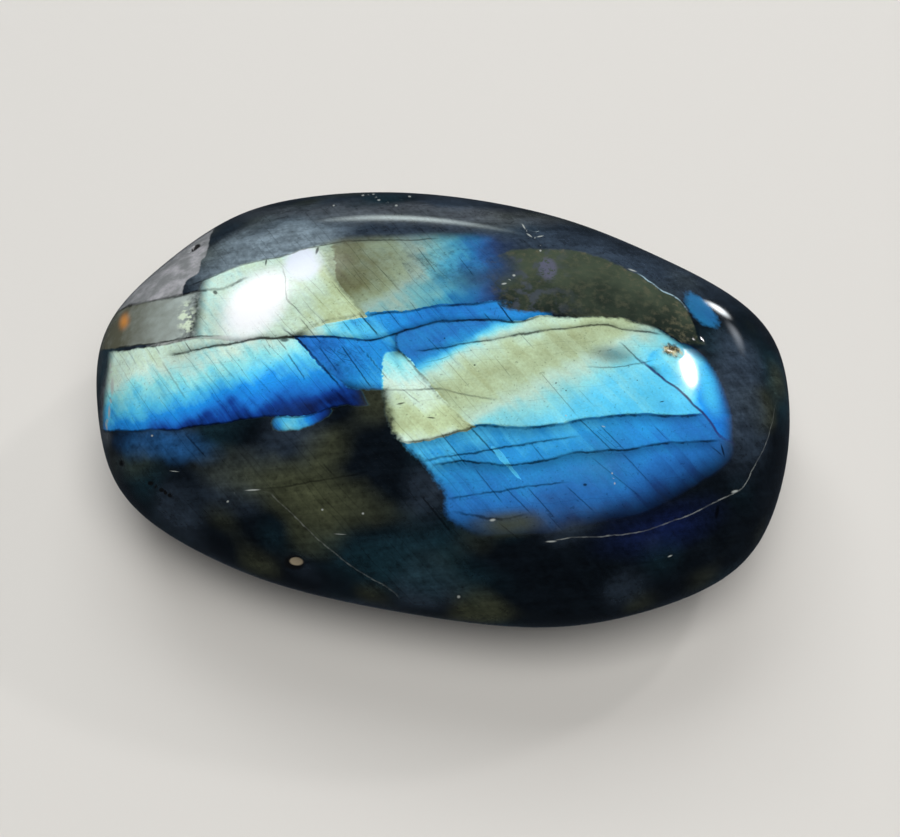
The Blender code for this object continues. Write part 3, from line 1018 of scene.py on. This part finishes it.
def labradoriteSurface():
    # Body colour, then the flash over it by each zone's edge times its fade, then veils and the haze with
    # its painted highlight, dark lines, the patch with a painted highlight on its lip, pale lines with
    # painted reflections on the left rim, and pits with painted shade, each mixed over what is under it by
    # its own mask from 0 to 1.
    material = bpy.data.materials.new("polished labradorite")
    material.use_nodes = True
    tree = material.node_tree
    shader = tree.nodes["Principled BSDF"]
    source = tree.nodes.new("ShaderNodeTexCoord")
    # The stone's own coordinates in mm on the grain plane.
    coordinates = Wire(source.outputs["Object"])
    millimetres = coordinates.node(
        "ShaderNodeVectorMath", {"operation": "SCALE"}, {0: coordinates, 3: 1000.0}
    )
    x, y, out = [dot(millimetres, grain[direction]) for direction in ("across", "up", "out")]
    place = vectorOf(x, x, y, out)

    def field(name, output=2):
        return x.node("ShaderNodeAttribute", {"attribute_name": name}, None, output)

    # Fine layers that lie along the slashes, 48 degrees down to the right, and broader ones along the
    # seams.
    broad = noise(place, 3.0, 2.0, 0.5)
    fine = noise(place, 0.5, 2.0, 0.6)
    slant = dot(place, (0.743, 0.669, 0.0)) + broad * 0.5
    down = dot(place, (0.669, -0.743, 0.0))
    layers = noise(vectorOf(slant, slant, down * 0.04, out * 0.2), 0.5, 2.0, 0.6)
    clouds = noise(place, 2.0, 4.0, 0.6)
    bedding = noise(vectorOf(slant, x * 0.14, y - x * 0.1, out * 0.3), 0.8, 3.0, 0.6)
    hairs, strip = threads(slant, down, 0.85, 0.05, 4.0)
    bedHairs = threads(y - x * 0.1 + broad, x, 1.3, 0.05, 5.0)[0]
    ragged = (fine - 0.5) * 2.4
    specks = smooth(noise(place, 0.3, 1.0, 0.5), 0.66, 0.76)

    def mask(name, rough=1.0):
        # The edge of a zone, worn ragged by the fine noise, as a share from 0 outside to 1 inside.
        return smooth(field(name + "Edge") + ragged * rough, -1.0, 1.0)

    def line(name, width):
        return smooth(abs(field(name) + ragged * 0.05), width, width * 0.2) * field(name + "Strength")

    def mark(name, soft=0.6):
        far = x.node(
            "ShaderNodeVectorMath", {"operation": "LENGTH"},
            {0: vectorOf(x, field(name + "MarkX"), field(name + "MarkY"), ragged * 0.15)}, 1
        )
        return smooth(far, 1.0, 1.0 - soft) * field(name + "MarkNear")

    # Body: dark glassy feldspar with slate, teal and olive clouds.
    bodyColour = field("bodyColour", 0)
    lightness = 0.5 + smooth(layers, 0.3, 0.75) * 0.3 + smooth(bedding, 0.3, 0.75) * 0.5
    lightness = lightness + smooth(clouds, 0.35, 0.75) * 0.4 + (fine - 0.5) * 0.6
    body = colourTimes(bodyColour, lightness)

    # Flash: its place in the order of colours, its strength and its dullness, zone after zone.
    flashHere, glow = field("upperFlash", 0), 0.0 * x
    for name in zoneNames:
        painted = field(name + "Flash", 0)
        here = mask(name, 0.3 if name in ("upper", "haze") else 1.0) * Wire(painted.socket.node.outputs[3])
        # The order and the dullness change over at the zone's rim, the strength over all of its edge.
        glow = blend(
            glow, Wire(painted.node("ShaderNodeSeparateColor", None, {0: painted}, 1).socket), here
        )
        flashHere = colourMix(flashHere, painted, smooth(here, 0.0, 0.12))
    parts = flashHere.node("ShaderNodeSeparateColor", None, {0: flashHere})
    phase, dull = Wire(parts.socket.node.outputs[0]), Wire(parts.socket.node.outputs[2])

    # The layers shift the colours and dim them in streaks.
    phase = phase + (layers - 0.5) * (0.04 + smooth(x, 10.0, -4.0) * 0.08)
    phase = phase + (clouds - 0.5) * 0.13 + (strip - 0.5) * 0.03
    slash = smooth(abs(field("slash") + ragged * 0.5), 1.0, 0.1) * field("slashStrength")
    streaks = 1.04 - smooth(layers, 0.5, 0.8) * (0.06 + smooth(x, 10.0, -4.0) * 0.14)
    streaks = streaks + (fine - 0.5) * 0.2 + (noise(place, 0.22, 2.0, 0.6) - 0.5) * 0.4
    streaks = streaks * (1.0 - hairs * smooth(x, 12.0, -4.0) * 0.32) * (1.0 - bedHairs * 0.12)
    streaks = streaks * (1.0 - slash) * (1.0 - specks * 0.3)
    bright = phase.node("ShaderNodeValToRGB", {"stops": flashColours}, {0: phase})
    steel = phase.node("ShaderNodeValToRGB", {"stops": steelColours}, {0: phase})
    colour = colourMix(body, colourMix(bright, steel, dull), glow)
    # The veil lays the over features on the colour, the painted highlight in the haze among them.
    clear = field("veil", 3)
    colour = clear.node(
        "ShaderNodeMix", {"data_type": "RGBA", "blend_type": "ADD"},
        {0: 1.0, 6: colourTimes(colour, clear), 7: field("veil", 0)}, 2
    )
    colour = colourTimes(colour, streaks)

    # Worn, mottled layers in the upper flash.
    colour = colourTimes(
        colour,
        1.0 - field("worn") * (
            smooth(clouds, 0.42, 0.66) * 0.3 + smooth(noise(place, 0.7, 3.0, 0.65), 0.45, 0.65) * 0.25
        )
    )

    # Milky corner on the upper left, grey glass under it, and the white haze, partly whitish schiller and
    # partly a painted highlight.
    milk = noise(place, 1.6, 3.0, 0.6)
    colour = colourMix(
        colour, colourMix(tint(132, 135, 136), tint(186, 185, 190), smooth(milk, 0.35, 0.8)),
        mask("milky") * 0.95
    )
    glass = field("glassShade") + (milk - 0.5) * 0.8
    colour = colourMix(
        colour, colourMix(tint(92, 92, 76), tint(172, 184, 180), glass), mask("glass") * 0.95
    )
    colour = colourMix(colour, tint(166, 172, 168), mask("strip") * 0.9)
    crystals = field("crystals") * smooth(noise(place, 0.8, 2.0, 0.6), 0.46, 0.6)
    colour = colourMix(colour, tint(216, 232, 206), crystals * 0.9)
    # Painted highlight, with the whitish schiller under it, in the haze.
    colour = colourMix(colour, tint(250, 252, 255), mask("bloom", 0.15))
    colour = colourMix(colour, tint(222, 228, 246), mask("bloomTwo", 0.15) * 0.85)

    # Seams: thin dark lines that come and go, small dark marks, and shade that leans on some of the seams.
    dark = 0.0 * x
    for number in range(trackCount):
        shown = smooth(
            abs(field("line%d" % number) + ragged * 0.7), 1.1, 0.1
        ) * field("lineStrength%d" % number)
        dark = larger(dark, shown)
    dark = dark * (0.5 + smooth(clouds, 0.36, 0.56) * 0.5)
    dark = larger(dark, mark("dark") * 0.9)
    colour = colourTimes(colour, (1.0 - field("shade")) * (1.0 - dark * 0.88))
    colour = colourMix(colour, tint(44, 34, 92), line("purple", 0.2) * 0.85)

    # Matrix patch: dull, dark olive, with grit along its edge, and above it a pale ledge that is a painted
    # highlight on the lip of the sunken patch. The chip beside it is golden.
    patch = mask("patch")
    grit = noise(place, 0.7, 3.0, 0.65)
    matrix = colourMix(
        tint(30, 38, 34), tint(66, 76, 62),
        smooth(broad * 0.6 + clouds * 0.4 + field("patchHeight"), 0.25, 0.9)
    )
    matrix = colourMix(matrix, tint(92, 90, 72), smooth(grit, 0.46, 0.7) * (0.3 + field("patchRim") * 0.5))
    matrix = colourMix(matrix, tint(70, 76, 88), smooth(milk, 0.5, 0.62) * smooth(x, 15.0, 9.0) * 0.6)
    matrix = colourMix(matrix, tint(88, 90, 110), field("lilac") * smooth(grit, 0.42, 0.5) * 0.8)
    colour = colourMix(colour, matrix, patch * (1.0 - field("patchGap") * 0.8))
    # Painted highlight along the patch's upper lip.
    colour = colourMix(colour, tint(150, 178, 190), line("ledge", 0.12) * smooth(clouds, 0.36, 0.5))
    chip = mask("chip", 1.4)
    colour = colourMix(
        colour, colourMix(tint(64, 60, 46), tint(196, 188, 150), smooth(grit, 0.4, 0.62)), chip
    )

    # The hairline fracture round the shoulder, a pale crack in the olive part, and the pale marks: specks
    # and grains, with a painted highlight and painted reflections among them.
    pale = larger(
        line("fracture", 0.08) * (0.15 + smooth(noise(place, 1.2), 0.4, 0.7) * 0.5),
        line("crack", 0.09) * (0.2 + smooth(fine, 0.4, 0.7) * 0.5)
    )
    # The pale marks include a painted highlight on the patch's lip and painted reflections down the left
    # rim.
    pale = larger(pale, mark("pale", 0.7))
    colour = colourMix(colour, tint(176, 182, 178), pale * 0.8)

    # Orange stain at the left end, and the pits: painted shade darkens the shoulder pit, the ring pit and
    # the low pits; a tan grain lies in the ring pit.
    colour = colourMix(colour, tint(214, 142, 62), field("orange") * 0.9)
    # Painted shade in the hollows of the pits.
    colour = colourMix(colour, tint(12, 12, 12), mark("pit", 0.4) * 0.95)
    grainShape = {"vector_type": "TEXTURE"}
    grainSpot = x.node(
        "ShaderNodeMapping", grainShape,
        {0: place, 1: (-13.0, -9.8, 0.0), 2: (0.0, 0.0, 0.0), 3: (0.75, 0.45, 1000.0)}
    )
    colour = colourMix(
        colour, tint(150, 138, 116),
        smooth(x.node("ShaderNodeVectorMath", {"operation": "LENGTH"}, {0: grainSpot}, 1), 1.0, 0.7)
    )

    rough = larger(patch, chip)
    bump = rough.node(
        "ShaderNodeBump", None,
        {"Strength": rough * 0.5, "Distance": 0.00005, "Height": noise(place, 0.45, 2.0, 0.65)}
    )

    tree.links.new(colour.socket, shader.inputs["Base Color"])
    tree.links.new((1.0 - rough * 0.85).socket, shader.inputs["Coat Weight"])
    tree.links.new(bump.socket, shader.inputs["Normal"])
    shader.inputs["Roughness"].default_value = 0.5
    shader.inputs["Coat Roughness"].default_value = 0.08
    shader.inputs["Coat IOR"].default_value = 1.5
    shader.inputs["Specular IOR Level"].default_value = 0.0
    return material


stone.data.materials.append(labradoriteSurface())
print("surface made:", len(stone.data.materials[0].node_tree.nodes), "nodes")


studio = {
    "floor": (216, 213, 208),
    "world": 0.035,
    "lens": 56.0,
    "distance": 0.140,
    "aim": (0.00134, -0.00431, 0.011),
    "azimuth": 3.0,
    "elevation": 52.0,
}

# Soft boxes: azimuth and elevation seen from the stone, distance, width, height in metres, power, colour,
# seen in the gloss, share of the edge that fades.
lamps = {
    "overhead": (20.0, 72.0, 0.70, 0.60, 0.60, 4.0, (1.0, 0.99, 0.97), False, 0.0),
    "backFill": (190.0, 50.0, 0.80, 0.70, 0.40, 2.9, (0.96, 0.98, 1.0), False, 0.0),
    "window": (208.0, 37.0, 0.60, 0.26, 0.17, 0.8, (1.0, 1.0, 1.0), True, 0.9),
    "spot": (132.6, 38.0, 0.60, 0.084, 0.046, 1.0, (1.0, 0.97, 0.98), True, 0.6),
    "backStrip": (184.5, 15.3, 0.80, 0.34, 0.085, 0.52, (0.86, 1.0, 0.98), True, 1.0),
    "sideStrip": (144.0, 11.8, 0.80, 0.15, 0.12, 1.2, (0.92, 0.97, 1.0), True, 1.0),
    "sideTail": (134.0, 15.0, 0.80, 0.16, 0.10, 0.16, (0.86, 0.92, 1.0), True, 1.0),
}


def directionOf(azimuth, elevation):
    # Azimuth 0 is the front, and elevation 90 is straight up.
    a, e = np.radians(azimuth), np.radians(elevation)
    return np.array([np.sin(a) * np.cos(e), -np.cos(a) * np.cos(e), np.sin(e)])


def aimAt(item, place, target):
    # Turns the item's -Z towards the target with its X level.
    item.location = Vector(place)
    item.rotation_euler = (Vector(target) - Vector(place)).to_track_quat("-Z", "Y").to_euler()


def fadeEdges(light, share):
    # Dims a soft box towards its edges, so that it has soft ones in the gloss too.
    light.use_nodes = True
    emission = light.node_tree.nodes["Emission"]
    place = Wire(light.node_tree.nodes.new("ShaderNodeNewGeometry").outputs["Parametric"])
    offset = place.node(
        "ShaderNodeVectorMath", {"operation": "MULTIPLY_ADD"},
        {0: place, 1: (2.0, 2.0, 0.0), 2: (-1.0, -1.0, 0.0)}
    )
    far = offset.node("ShaderNodeVectorMath", {"operation": "LENGTH"}, {0: offset}, 1)
    light.node_tree.links.new(smooth(far, 1.0, 1.0 - share).socket, emission.inputs["Strength"])


def buildStudio():
    floorMesh = bpy.data.meshes.new("floor")
    size = 3.0
    floorMesh.from_pydata(
        [(-size, -size, 0), (size, -size, 0), (size, size, 0), (-size, size, 0)], [], [(0, 1, 2, 3)]
    )
    floor = bpy.data.objects.new("floor", floorMesh)
    scene.collection.objects.link(floor)
    paper = bpy.data.materials.new("pale floor")
    paper.use_nodes = True
    paper.node_tree.nodes["Principled BSDF"].inputs["Base Color"].default_value = tint(*studio["floor"])
    paper.node_tree.nodes["Principled BSDF"].inputs["Roughness"].default_value = 0.8
    paper.node_tree.nodes["Principled BSDF"].inputs["Specular IOR Level"].default_value = 0.1
    floorMesh.materials.append(paper)
    floor.visible_glossy = False
    world = bpy.data.worlds.new("studio")
    world.use_nodes = True
    world.node_tree.nodes["Background"].inputs[0].default_value = (0.8, 0.98, 1.25, 1.0)
    world.node_tree.nodes["Background"].inputs[1].default_value = studio["world"]
    scene.world = world
    for name, (azimuth, elevation, distance, width, height, power, colour, glossy, share) in lamps.items():
        light = bpy.data.lights.new(name, "AREA")
        light.shape = "RECTANGLE"
        light.size = width
        light.size_y = height
        light.energy = power
        light.color = colour
        if share:
            fadeEdges(light, share)
        lamp = bpy.data.objects.new(name, light)
        scene.collection.objects.link(lamp)
        aimAt(lamp, directionOf(azimuth, elevation) * distance, (0.0, 0.0, 0.01))
        lamp.visible_glossy = glossy
    lens = bpy.data.cameras.new("camera")
    lens.lens = studio["lens"]
    lens.sensor_width = 36.0
    lens.clip_start = 0.001
    lens.clip_end = 20.0
    camera = bpy.data.objects.new("camera", lens)
    scene.collection.objects.link(camera)
    target = np.array(studio["aim"])
    aimAt(camera, target + directionOf(studio["azimuth"], studio["elevation"]) * studio["distance"], target)
    scene.camera = camera
    scene.view_settings.view_transform = "Standard"


buildStudio()
print("studio made")
